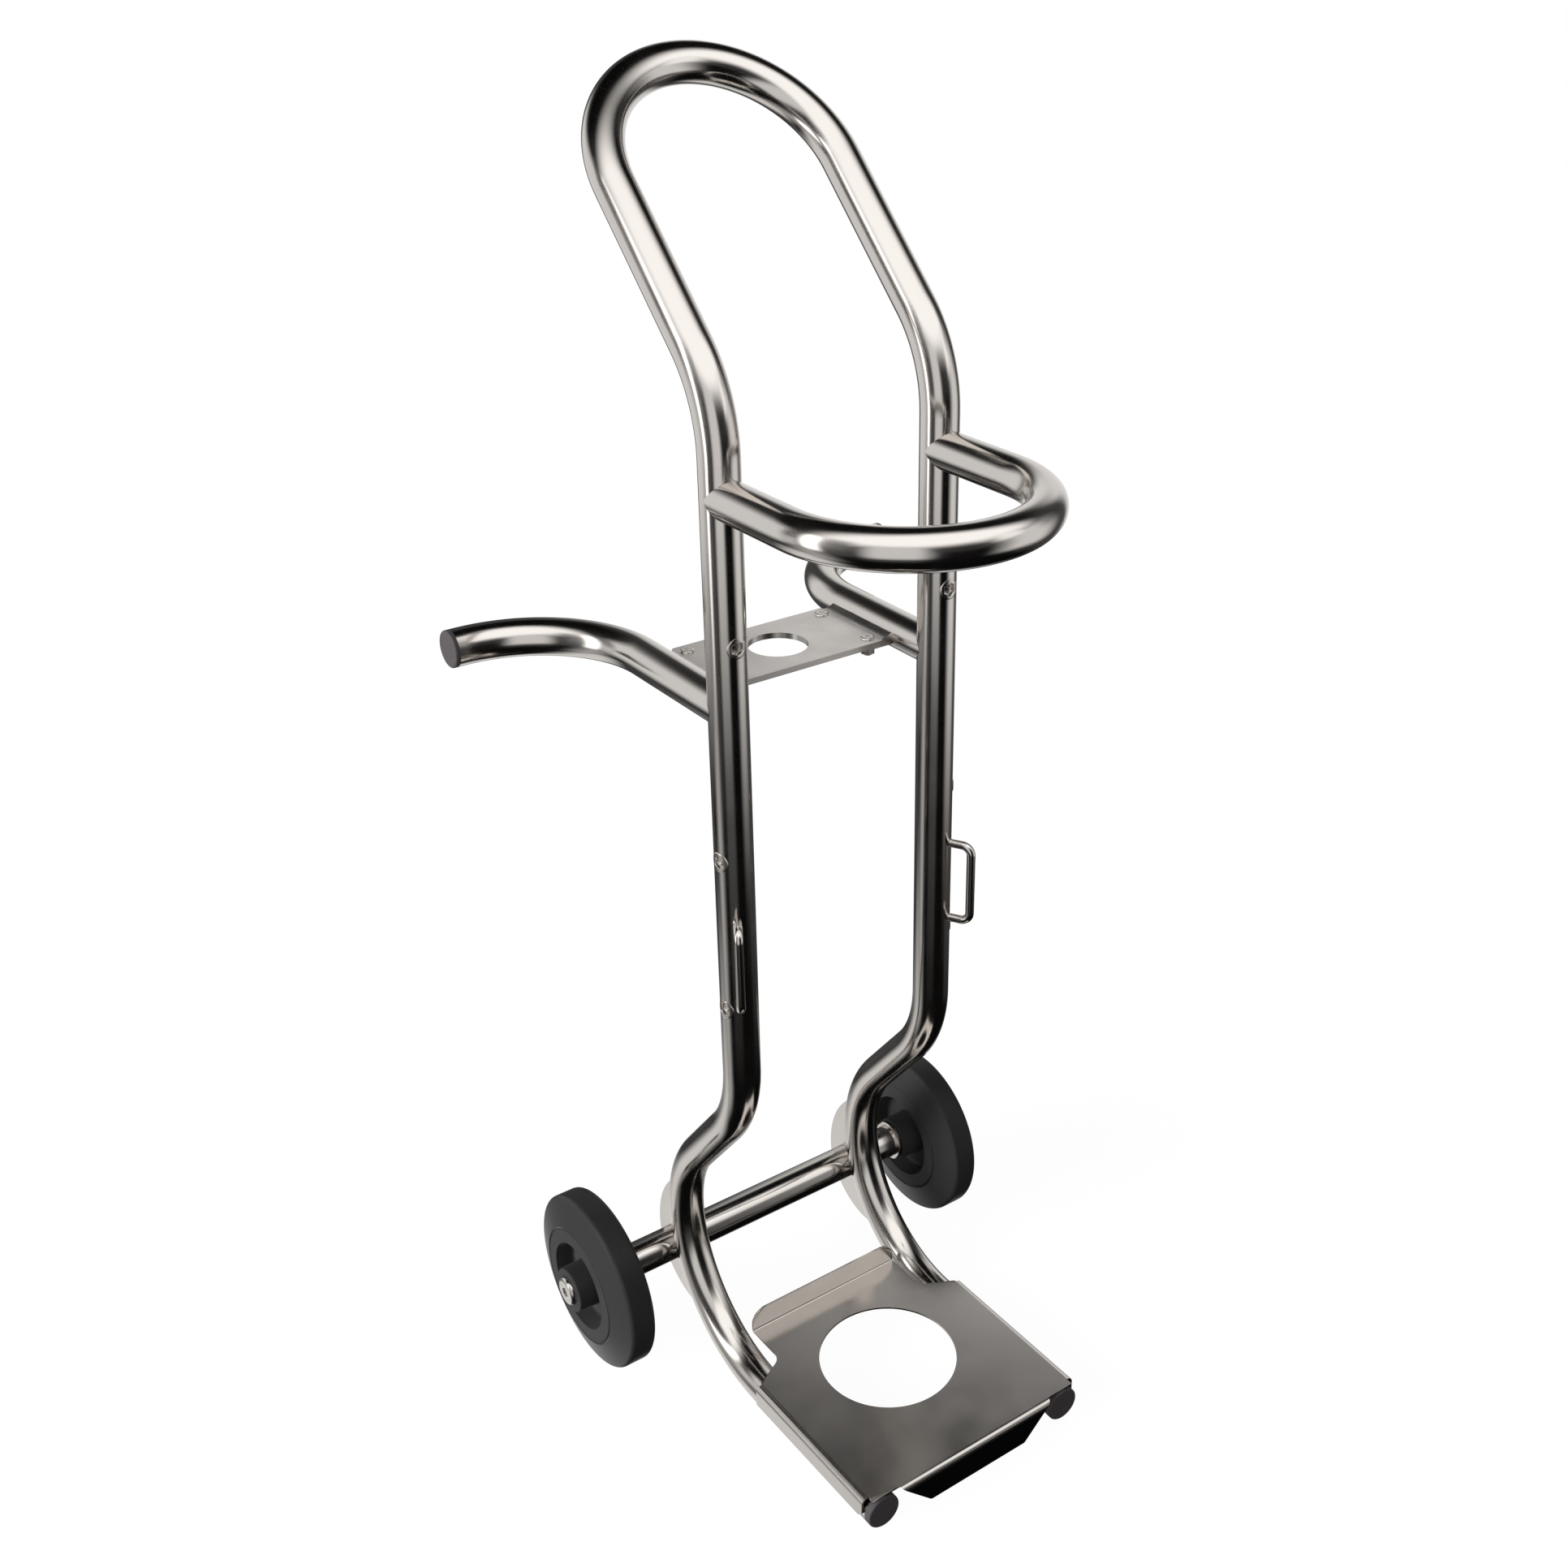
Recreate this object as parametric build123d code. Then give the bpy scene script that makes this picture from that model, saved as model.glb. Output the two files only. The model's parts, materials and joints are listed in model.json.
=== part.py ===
from build123d import *
from math import cos, radians, sin, sqrt
import os

# Hand trolley for one tall gas bottle, of bent stainless tube. Millimetres.
# +X is across to the right, -Y is the front where the bottle stands, +Z is up from the floor.
# Lengths along Y are taken from the plane of the two uprights. The finished pieces are moved at the
# end, so that the origin is on the floor under the middle of the whole trolley.

# Frame tube: base run on the floor, heel bend, knee bend, upright, handle
tube_od = 38.0
tube_wall = 2.0
upright_spacing = 240.0
foot_reach = 230.0
heel_radius = 150.0
heel_turn = 130.0
heel_straight = 90.0
knee_radius = 140.0
handle_start = 1053.0
handle_radius = 130.0
handle_turn = 45.0
handle_straight = 160.0
weld_gap = 0.2
near = 0.1

# Hoop round the bottle, and tail bars behind the uprights
hoop_drop = 33.0
hoop_leg = 104.0
tail_height = 819.0
tail_leg = 150.0
tail_radius = 130.0
tail_end = 8.0

# Plug caps in the open tube ends
foot_cap_head = 8.0
tail_cap_head = 5.0
cap_edge = 2.0
foot_cap_spigot = 24.0
cap_clearance = 0.1

# Base plate, folded from sheet
sheet = 2.0
plate_overhang = 6.0
plate_fold = 6.0
plate_hole = 150.0
plate_hole_ahead = 85.5
shoulder_outer = 12.0
shoulder_inner = 7.0
shoulder_fillet = 15.0
tongue_gap = 4.0
lip_behind = 36.0
lip_height = 26.5
lip_corner = 18.0
lip_fold = 4.0
side_fold = 3.5
side_flange_gap = 0.3
side_flange_drop = 24.5
side_flange_inset = 2.0
side_flange_chamfer = 6.0
front_flange_drop = 37.0
front_flange_low = 126.0
front_flange_corner = 4.0
panel_thickness = 0.8
panel_margin = 0.6

# Axle and the gussets that carry it
axle_od = 38.0
axle_wall = 2.0
axle_length = 360.0
axle_gap = 2.0
gusset_thickness = 5.0
gusset_behind = 31.5
gusset_above = 10.0
gusset_low_radius = 71.5
gusset_high_radius = 110.0
stub_plug = 50.0
collar_od = 47.0
collar = 5.4
collar_edge = 1.2

# Wheels
wheel_od = 200.0
tread_width = 28.0
tread_edge = 2.5
tyre_bead_width = 48.0
tyre_seat_od = 133.0
bead_groove = 1.6
rim_width = 49.0
rim_recess_od = 100.8
web_od = 92.0
web_thickness = 10.0
web_fillet = 3.0
hub_od = 51.0
hub_draft = 1.0
hub_length = 72.0
hub_edge = 1.5
hub_recess_od = 38.0
hub_recess = 2.0
hub_play = 0.3
bush_od = 26.0
bush_length = 20.0
bush_press = 0.02
journal_od = 20.0
journal_clearance = 0.05
journal_stand = 2.5
axle_screw_od = 10.0
axle_screw_length = 26.0
axle_screw_head_od = 31.6
axle_screw_head = 4.5
axle_screw_dome = 3.5
axle_screw_tip_gap = 1.5
axle_screw_socket = 10.0
axle_screw_socket_depth = 3.0

# Accessory plate between the tail bars, with its lugs, screws and nuts
accessory_thickness = 6.0
accessory_gap = 11.0
accessory_behind = 44.0
accessory_depth = 106.0
accessory_rise = 1.0
accessory_hole = 60.0
accessory_corner = 4.0
lug_thickness = 3.0
lug_overlap = 20.0
lug_inset = 4.0
lug_corner = 4.0
plate_screw_od = 8.0
plate_screw_inset = 10.0
plate_screw_pitch = 78.0
plate_screw_play = 0.5
plate_screw_head_od = 14.0
plate_screw_head = 1.8
plate_screw_dome = 1.4
plate_screw_tip = 2.0
plate_screw_socket = 5.0
plate_screw_socket_depth = 1.2
plate_nut_width = 13.0
plate_nut_height = 6.5
thread_clearance = 0.05

# Strap loops of wire, and threaded inserts in the uprights
loop_wire = 9.0
loop_reach = 42.0
loop_length = 88.0
loop_corner = 10.0
loop_rise = 138.0
loop_angle = 60.0
insert_flange_od = 20.0
insert_flange = 1.6
insert_body_od = 14.0
insert_length = 18.0
insert_bore = 8.5
insert_countersink = 0.5
front_insert_drop = 134.5
side_insert_rises = (80.0, 244.0)
side_insert_turn = 10.0

# Places that follow from those sizes
side_x = upright_spacing / 2
tube_radius = tube_od / 2
base_height = tube_radius
lean = radians(heel_turn)
heel_y = -(heel_radius * sin(lean) + heel_straight * cos(lean) + knee_radius * (sin(lean) - 1))
heel_height = base_height + heel_radius
knee_top = heel_height - (heel_radius + knee_radius) * cos(lean) + heel_straight * sin(lean)
hoop_height = handle_start - hoop_drop
axle_height = wheel_od / 2
heel_to_axle = heel_radius + tube_radius + axle_gap + axle_od / 2
axle_y = heel_y + sqrt(heel_to_axle**2 - (axle_height - heel_height) ** 2)
hub_inner_x = axle_length / 2 + collar + hub_play
wheel_x = hub_inner_x + hub_length / 2
journal_end_x = hub_inner_x + hub_length - hub_recess + journal_stand
front_of_hoop = hoop_leg + side_x + tube_radius
back_of_tail = tail_leg + tail_radius + tube_radius
to_origin = Pos(0, (front_of_hoop - back_of_tail) / 2, 0)

X = Vector(1, 0, 0)
Y = Vector(0, 1, 0)
Z = Vector(0, 0, 1)


def bent_path(start, heading, *steps):
    """Centre line as a tube bender makes it. Each step goes on in the direction that the last one
    ended in: a straight length, or a bend as (radius, degrees, axis)."""
    point = Vector(start)
    edges = []
    for step in steps:
        if isinstance(step, tuple):
            radius, turn, direction = step
            axis = Axis((0, 0, 0), direction)
            spoke = heading.cross(direction) * radius
            centre = point - spoke
            end = centre + spoke.rotate(axis, turn)
            edges.append(ThreePointArc(point, centre + spoke.rotate(axis, turn / 2), end))
            heading = heading.rotate(axis, turn)
        else:
            end = point + heading * step
            edges.append(Line(point, end))
        point = end
    return Wire(edges)


def rod(path, diameter):
    """Round bar along a path."""
    return sweep(Plane(path @ 0, z_dir=path % 0) * Circle(diameter / 2), path=path)


def tube(path, od, wall):
    """Round tube along a path."""
    ring = Circle(od / 2) - Circle(od / 2 - wall)
    return sweep(Plane(path @ 0, z_dir=path % 0) * ring, path=path)


def turned(*outline):
    """Solid turned about the X axis from an outline of (x, radius) points."""
    return revolve(make_face(Polyline(*outline, close=True)), axis=Axis.X)


def rings_at(shape, x):
    """The round edges of a turned piece at this distance from its middle, on both sides."""
    rings = shape.edges().filter_by(GeomType.CIRCLE)
    return rings.filter_by(lambda ring: abs(abs(ring.arc_center.X) - x) < near)


def along_x(radius, start, end):
    """Round bar on the X axis."""
    return Pos((start + end) / 2, 0, 0) * Rot(0, 90, 0) * Cylinder(radius, end - start)


def largest(shape):
    """The main solid that a cut leaves."""
    return max(shape.solids(), key=lambda solid: solid.volume)


def left_of(shape):
    """The same piece on the other side of the trolley."""
    return mirror(shape, about=Plane.YZ)


# Side tube: one bend of tube from the front foot to the top of the upright
side_path = bent_path(
    (side_x, -foot_reach, base_height),
    Y,
    foot_reach + heel_y,
    (heel_radius, heel_turn, X),
    heel_straight,
    (knee_radius, heel_turn - 90, -X),
    handle_start - knee_top,
)
side_tube = tube(side_path, tube_od, tube_wall)
side_space = rod(side_path, tube_od + 2 * weld_gap)
upright_space = Pos(side_x, 0, handle_start / 2) * Cylinder(tube_radius + weld_gap, handle_start)


# Threaded inserts: a sleeve through the tube wall under a thin flange that follows the tube
def insert_at(height, facing):
    """Insert in the right upright, its mouth towards the facing direction."""
    mouth = Plane((side_x, 0, height), z_dir=facing)
    top = tube_radius + insert_flange
    shell = Cylinder(top, insert_flange_od) - Cylinder(tube_radius + weld_gap, insert_flange_od)
    disc = mouth * Pos(0, 0, top) * Cylinder(insert_flange_od / 2, top)
    flange = Pos(side_x, 0, height) * shell & disc
    body = mouth * Pos(0, 0, top - insert_length / 2) * Cylinder(insert_body_od / 2, insert_length)
    bore = mouth * Pos(0, 0, top - insert_length / 2) * Cylinder(insert_bore / 2, insert_length)
    flare = Cone(insert_bore / 2, insert_bore / 2 + insert_countersink, insert_countersink)
    domed = Pos(side_x, 0, height) * Cylinder(top, insert_flange_od)
    return flange + (body & domed) - bore - mouth * Pos(0, 0, top - insert_countersink / 2) * flare


def insert_hole(height, facing):
    """Hole in the wall of the right upright for an insert."""
    mouth = Plane((side_x, 0, height), z_dir=facing)
    return mouth * Pos(0, 0, tube_radius) * Cylinder(insert_body_od / 2 + weld_gap, tube_radius)


insert_places = [(hoop_height - front_insert_drop, -Y)]
side_facing = X * cos(radians(side_insert_turn)) - Y * sin(radians(side_insert_turn))
insert_places += [(knee_top + rise, side_facing) for rise in side_insert_rises]
right_inserts = [insert_at(*place) for place in insert_places]
for place in insert_places:
    side_tube -= insert_hole(*place)

# Handle: bends back from both uprights and closes in a half circle
back_and_up = Y * sin(radians(handle_turn)) + Z * cos(radians(handle_turn))
handle_tube = tube(
    bent_path(
        (-side_x, 0, handle_start),
        Z,
        (handle_radius, handle_turn, -X),
        handle_straight,
        (side_x, 180, back_and_up.cross(X)),
        handle_straight,
        (handle_radius, handle_turn, X),
    ),
    tube_od,
    tube_wall,
)

# Hoop: a U of tube, its ends cut to a saddle on the uprights
hoop_path = bent_path((-side_x, 0, hoop_height), -Y, hoop_leg, (side_x, 180, Z), hoop_leg)
front_hoop = largest(tube(hoop_path, tube_od, tube_wall) - upright_space - left_of(upright_space))

# Tail bar: from the back of the upright, bent outwards
tail_path = bent_path((side_x, 0, tail_height), Y, tail_leg, (tail_radius, 90, -Z), tail_end)
tail_bar = largest(tube(tail_path, tube_od, tube_wall) - upright_space)
tail_space = rod(tail_path, tube_od + 2 * weld_gap)


def plug_cap(head, length):
    """Moulded plug cap, its head below z = 0 and its spigot above."""
    spigot = Pos(0, 0, length / 2) * Cylinder(tube_radius - tube_wall - cap_clearance, length)
    spigot = chamfer(spigot.edges().group_by(Axis.Z)[-1], cap_edge)
    disc = Pos(0, 0, -head / 2) * Cylinder(tube_radius, head)
    return spigot + fillet(disc.edges().group_by(Axis.Z)[0], cap_edge)


foot_cap = Plane(side_path @ 0, z_dir=side_path % 0) * plug_cap(foot_cap_head, foot_cap_spigot)
tail_cap = Plane(tail_path @ 1, z_dir=-(tail_path % 1)) * plug_cap(tail_cap_head, tail_end)


# Base plate: a flat sheet on the base runs, with a lip, two side flanges and a front flange
def folded_flange(length, drop, fold):
    """Right-angle bend and the flange below it. The sheet's top ends at y = 0, z = 0."""
    inner = fold - sheet
    outline = [
        CenterArc((0, -fold), fold, 0, 90),
        Line((fold, -fold), (fold, -drop)),
        Line((fold, -drop), (inner, -drop)),
        Line((inner, -drop), (inner, -fold)),
        CenterArc((0, -fold), inner, 0, 90),
        Line((0, -sheet), (0, 0)),
    ]
    return extrude(Plane.YZ * make_face(outline), length / 2, both=True)


def corner_edges(flange):
    """The two short edges at the free corners of a flange."""
    return flange.edges().filter_by(Axis.Y).group_by(Axis.Z)[0]


plate_top = 2 * tube_radius + weld_gap + sheet
plate_half = side_x + tube_radius + side_flange_gap + sheet
flat_half = plate_half - side_fold
flat_front = -(foot_reach + plate_overhang)
shoulder_y = heel_y - shoulder_outer
tongue_half = side_x - tube_radius - tongue_gap
tongue_y = heel_y + shoulder_inner
lip_y = lip_behind - lip_fold

flat_corners = [
    (flat_half, flat_front),
    (flat_half, shoulder_y),
    (tongue_half, tongue_y),
    (tongue_half, lip_y),
]
flat_outline = flat_corners + [(-x, y) for x, y in reversed(flat_corners)]
flat = make_face(Polyline(*flat_outline, close=True))
inner_corners = flat.vertices().filter_by(lambda vertex: abs(vertex.Y - tongue_y) < near)
flat = fillet(inner_corners, shoulder_fillet) - Pos(0, -plate_hole_ahead) * Circle(plate_hole / 2)

side_flange_length = foot_reach + shoulder_y - 2 * side_flange_inset
side_flange = folded_flange(side_flange_length, side_flange_drop, side_fold)
side_flange = chamfer(corner_edges(side_flange).sort_by(Axis.X)[-1:], side_flange_chamfer)
side_flange_y = (shoulder_y - foot_reach) / 2
side_flange = Pos(flat_half, side_flange_y, plate_top) * Rot(0, 0, -90) * side_flange

front_half_low = front_flange_low / 2
front_half_high = front_half_low + front_flange_drop
front_flange = Pos(0, flat_front, plate_top) * Rot(0, 0, 180) * folded_flange(
    2 * front_half_high, front_flange_drop, plate_fold
)
front_y = flat_front - plate_fold
front_bottom = plate_top - front_flange_drop


def front_taper(margin, top, start, depth):
    """Block with the sloping sides of the front flange, this much smaller all round."""
    low = front_half_low - margin
    bottom = front_bottom + margin
    high = low + top - bottom
    face = make_face(Polyline((-low, bottom), (low, bottom), (high, top), (-high, top), close=True))
    lower = face.vertices().sort_by(Axis.Y)[:2]
    face = fillet(lower, front_flange_corner)
    return Pos(0, start, 0) * extrude(Plane.XZ * face, -depth)


front_flange &= front_taper(0, plate_top, front_y, plate_fold)

lip = folded_flange(2 * tongue_half, lip_height + sheet, lip_fold)
lip = fillet(corner_edges(lip), lip_corner)
lip = Pos(0, lip_y, plate_top - sheet) * mirror(lip, about=Plane.XY)

base_plate = Pos(0, 0, plate_top - sheet) * extrude(flat, sheet)
base_plate += [side_flange, left_of(side_flange), front_flange, lip]
panel_top = plate_top - plate_fold
front_panel = front_taper(panel_margin, panel_top, front_y - panel_thickness, panel_thickness)

# Gusset: plate in the middle plane of the side tube, between the heel bend and the axle
gusset_back = axle_y + gusset_behind
gusset_middle = axle_height + gusset_above
gusset_bottom = gusset_middle - gusset_low_radius
low_centre = (gusset_back - gusset_low_radius, gusset_middle)
high_centre = (gusset_back - gusset_high_radius, gusset_middle)
high_end = (gusset_back - gusset_high_radius, gusset_middle + gusset_high_radius)
gusset_outline = [
    Line((heel_y, gusset_bottom), (low_centre[0], gusset_bottom)),
    CenterArc(low_centre, gusset_low_radius, -90, 90),
    CenterArc(high_centre, gusset_high_radius, 0, 90),
    Line(high_end, (heel_y, high_end[1])),
    Line((heel_y, high_end[1]), (heel_y, gusset_bottom)),
]
on_axle = Pos(0, axle_y, axle_height)
heel_disc = Pos(side_x, heel_y, heel_height) * Rot(0, 90, 0) * Cylinder(heel_radius, tube_od)
gusset_face = Plane.YZ.offset(side_x) * make_face(gusset_outline)
gusset = extrude(gusset_face, gusset_thickness / 2, both=True)
gusset -= on_axle * along_x(axle_od / 2 + weld_gap, 0, axle_length)
gusset = largest(gusset - heel_disc - side_space)

# Axle tube, and what is plugged on to each end of it
axle_tube = on_axle * along_x(axle_od / 2, -axle_length / 2, axle_length / 2)
axle_tube -= on_axle * along_x(axle_od / 2 - axle_wall, -axle_length / 2, axle_length / 2)

axle_end = axle_length / 2
stub_axle = along_x(axle_od / 2 - axle_wall - weld_gap, axle_end - stub_plug, axle_end)
stub_axle += along_x(journal_od / 2, axle_end, journal_end_x)
thread_start = journal_end_x - axle_screw_length
stub_axle -= along_x(axle_screw_od / 2 + thread_clearance, thread_start, journal_end_x)
collar_washer = along_x(collar_od / 2, axle_end, axle_end + collar)
collar_washer = chamfer(collar_washer.edges(), collar_edge)
collar_washer -= along_x(journal_od / 2 + weld_gap, axle_end, axle_end + collar)

axle_screw = along_x(axle_screw_head_od / 2, journal_end_x, journal_end_x + axle_screw_head)
axle_screw = fillet(axle_screw.edges().group_by(Axis.X)[-1], axle_screw_dome)
axle_screw += along_x(axle_screw_od / 2, thread_start + axle_screw_tip_gap, journal_end_x)
socket = extrude(RegularPolygon(axle_screw_socket / 2, 6, major_radius=False), axle_screw_socket_depth)
socket_floor_x = journal_end_x + axle_screw_head - axle_screw_socket_depth
axle_screw -= Pos(socket_floor_x, 0, 0) * Rot(0, 90, 0) * socket

# Wheel: moulded centre with a deep ring-shaped recess on both sides, and a tapered solid tyre
rim_edge = rim_width / 2
bead = tyre_bead_width / 2
seat = tyre_seat_od / 2
half_web = web_thickness / 2
half_hub = hub_length / 2
hub_bore = bush_od / 2 + bush_press
inner_side = [
    (half_hub, hub_od / 2),
    (half_web, hub_od / 2 + hub_draft),
    (half_web, web_od / 2),
    (rim_edge, rim_recess_od / 2),
    (bead, seat - bead_groove),
    (bead - bead_groove, seat),
]
centre_outline = [(-x, radius) for x, radius in inner_side] + inner_side[::-1]
wheel_centre = turned((-half_hub, hub_bore), *centre_outline, (half_hub, hub_bore))
wheel_centre = fillet(rings_at(wheel_centre, half_web), web_fillet)
wheel_centre = fillet(rings_at(wheel_centre, half_hub).sort_by(SortBy.RADIUS)[-2:], hub_edge)
wheel_centre -= along_x(hub_recess_od / 2, half_hub - hub_recess, half_hub)

tread = tread_width / 2
tyre_side = [(bead - bead_groove, seat), (bead, seat + bead_groove), (tread, wheel_od / 2)]
tyre = turned(*[(-x, radius) for x, radius in tyre_side], *tyre_side[::-1])
tyre = fillet(rings_at(tyre, tread), tread_edge)


def bush(start):
    """Plain bush in the hub, from this place along the axle."""
    sleeve = along_x(bush_od / 2, start, start + bush_length)
    return sleeve - along_x(journal_od / 2 + journal_clearance, start, start + bush_length)


hub_bushes = [bush(-half_hub), bush(half_hub - hub_recess - bush_length)]
on_wheel = Pos(wheel_x, axle_y, axle_height)

# Accessory plate on two lugs between the tail bars
accessory_half = side_x - tube_radius - accessory_gap
accessory_middle = accessory_behind + accessory_depth / 2
accessory_top = tail_height + accessory_rise
lug_top = accessory_top - accessory_thickness
screw_x = accessory_half - plate_screw_inset
screw_places = [
    Pos(x, accessory_middle + y, 0)
    for x in (screw_x, -screw_x)
    for y in (-plate_screw_pitch / 2, plate_screw_pitch / 2)
]
screw_hole = Pos(0, 0, accessory_top) * Cylinder(plate_screw_od / 2 + plate_screw_play, tube_od)
accessory_face = Pos(0, accessory_middle) * (
    RectangleRounded(2 * accessory_half, accessory_depth, accessory_corner) - Circle(accessory_hole / 2)
)
accessory_plate = Pos(0, 0, lug_top) * extrude(accessory_face, accessory_thickness)
accessory_plate -= [place * screw_hole for place in screw_places]

lug_inner_x = accessory_half - lug_overlap
lug_width = side_x + tube_radius - lug_inner_x
lug_face = RectangleRounded(lug_width, accessory_depth - 2 * lug_inset, lug_corner)
lug_place = Pos(lug_inner_x + lug_width / 2, accessory_middle, lug_top - lug_thickness)
plate_lug = lug_place * extrude(lug_face, lug_thickness) - tail_space
plate_lug = min(plate_lug.solids(), key=lambda solid: solid.center().X)
plate_lug = plate_lug - [place * screw_hole for place in screw_places]

shank_length = accessory_thickness + lug_thickness + plate_nut_height + plate_screw_tip
plate_screw = Pos(0, 0, -shank_length / 2) * Cylinder(plate_screw_od / 2, shank_length)
head_dome = Pos(0, 0, plate_screw_head / 2) * Cylinder(plate_screw_head_od / 2, plate_screw_head)
head_dome = fillet(head_dome.edges().group_by(Axis.Z)[-1], plate_screw_dome)
hexagon = RegularPolygon(plate_screw_socket / 2, 6, major_radius=False)
head_socket = Pos(0, 0, plate_screw_head) * extrude(hexagon, -plate_screw_socket_depth)
plate_screw = plate_screw + head_dome - head_socket
plate_screws = [Pos(0, 0, accessory_top) * place * plate_screw for place in screw_places]

plate_nut = extrude(RegularPolygon(plate_nut_width / 2, 6, major_radius=False), -plate_nut_height)
plate_nut -= Cylinder(plate_screw_od / 2 + thread_clearance, 2 * plate_nut_height)
plate_nuts = [Pos(0, 0, lug_top - lug_thickness) * place * plate_nut for place in screw_places]

# Strap loop: a bow of wire welded to the outer front of the upright
outward = X * cos(radians(loop_angle)) - Y * sin(radians(loop_angle))
loop_leg = loop_reach - loop_corner
loop_bend = (loop_corner, 90, outward.cross(-Z))
loop_path = bent_path(
    (side_x, 0, knee_top + loop_rise + loop_length / 2),
    outward,
    loop_leg,
    loop_bend,
    loop_length - 2 * loop_corner,
    loop_bend,
    loop_leg,
)
strap_loop = largest(rod(loop_path, loop_wire) - upright_space)

# Pieces of each side, and single pieces
right_pieces = {
    "side_tube": side_tube,
    "tail_bar": tail_bar,
    "tail_cap": tail_cap,
    "foot_cap": foot_cap,
    "gusset": gusset,
    "stub_axle": on_axle * stub_axle,
    "collar_washer": on_axle * collar_washer,
    "axle_screw": on_axle * axle_screw,
    "wheel_centre": on_wheel * wheel_centre,
    "tyre": on_wheel * tyre,
    "hub_bushes": Compound([on_wheel * piece for piece in hub_bushes]),
    "plate_lug": plate_lug,
    "strap_loop": strap_loop,
}
pieces = {
    "handle_tube": handle_tube,
    "front_hoop": front_hoop,
    "base_plate": base_plate,
    "front_panel": front_panel,
    "axle_tube": axle_tube,
    "accessory_plate": accessory_plate,
    "plate_screws": Compound(plate_screws),
    "plate_nuts": Compound(plate_nuts),
    "threaded_inserts": Compound(right_inserts + [left_of(piece) for piece in right_inserts]),
}
for name, shape in right_pieces.items():
    pieces[name + "_right"] = shape
    pieces[name + "_left"] = left_of(shape)

os.makedirs("parts", exist_ok=True)
for name, shape in pieces.items():
    export_step(to_origin * shape, f"parts/{name}.step")
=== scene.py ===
import json
from math import asin, atan2, ceil, cos, degrees, hypot, pi, radians, sin, sqrt

import bmesh
import bpy
from mathutils import Matrix, Vector


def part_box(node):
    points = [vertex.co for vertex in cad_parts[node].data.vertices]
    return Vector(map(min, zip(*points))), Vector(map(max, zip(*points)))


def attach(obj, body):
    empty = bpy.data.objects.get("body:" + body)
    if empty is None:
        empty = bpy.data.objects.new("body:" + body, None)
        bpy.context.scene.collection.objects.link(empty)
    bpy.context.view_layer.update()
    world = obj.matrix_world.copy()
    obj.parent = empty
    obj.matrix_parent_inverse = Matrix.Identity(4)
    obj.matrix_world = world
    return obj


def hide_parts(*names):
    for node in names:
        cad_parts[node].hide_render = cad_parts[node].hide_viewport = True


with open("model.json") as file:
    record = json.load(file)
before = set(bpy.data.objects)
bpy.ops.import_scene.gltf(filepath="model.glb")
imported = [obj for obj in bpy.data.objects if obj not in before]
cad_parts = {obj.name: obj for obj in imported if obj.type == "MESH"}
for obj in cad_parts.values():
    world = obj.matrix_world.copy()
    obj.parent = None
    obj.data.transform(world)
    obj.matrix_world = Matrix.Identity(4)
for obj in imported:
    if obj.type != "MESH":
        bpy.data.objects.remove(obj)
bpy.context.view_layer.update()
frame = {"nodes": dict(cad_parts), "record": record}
nodes = frame["nodes"]
scene = bpy.context.scene

# Side tubes: 38 mm stainless tube with a 2 mm wall, bent cold from the front foot over the heel and the
# knee to the top of the upright. Drilled for the threaded inserts, then polished bright all over.
mm = 0.001
X, Y, Z = Matrix.Identity(3)
tube_wall = 2 * mm
seat_gap = 0.2 * mm
heel_radius = 150 * mm
heel_turn = 130
heel_straight = 90 * mm
knee_radius = 140 * mm
tube_sides = 72
bend_step = 2.5
hole_radius = 7.2 * mm
hole_rows = 4
patch_rows = 6
patch_half = 9.5 * mm
nearly_upright = 0.99
sharp_angle = 30
smear_size = 45 * mm
smear_low = 0.3
smear_high = 0.7
side_low, side_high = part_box("side_tube_right")
tube_radius = (side_high.x - side_low.x) / 2
side_x = (side_high.x + side_low.x) / 2
upright_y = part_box("handle_tube")[0].y + tube_radius


def linear(colour):
    """sRGB hex colour as linear RGBA."""
    parts = [int(colour[i : i + 2], 16) / 255 for i in (1, 3, 5)]
    return [c / 12.92 if c <= 0.04045 else ((c + 0.055) / 1.055) ** 2.4 for c in parts] + [1.0]


def add_node(tree, kind, links=None, **settings):
    """Adds one node. links maps an input to a value or to another node's output, and settings are the
    attributes of the node."""
    node = tree.nodes.new(kind)
    for name, value in settings.items():
        setattr(node, name, value)
    for name, value in (links or {}).items():
        if isinstance(value, bpy.types.NodeSocket):
            tree.links.new(value, node.inputs[name])
        else:
            node.inputs[name].default_value = value
    return node


def new_material(name):
    """Empty material and its node tree."""
    material = bpy.data.materials.new(name)
    material.use_nodes = True
    material.node_tree.nodes.clear()
    return material, material.node_tree


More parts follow.
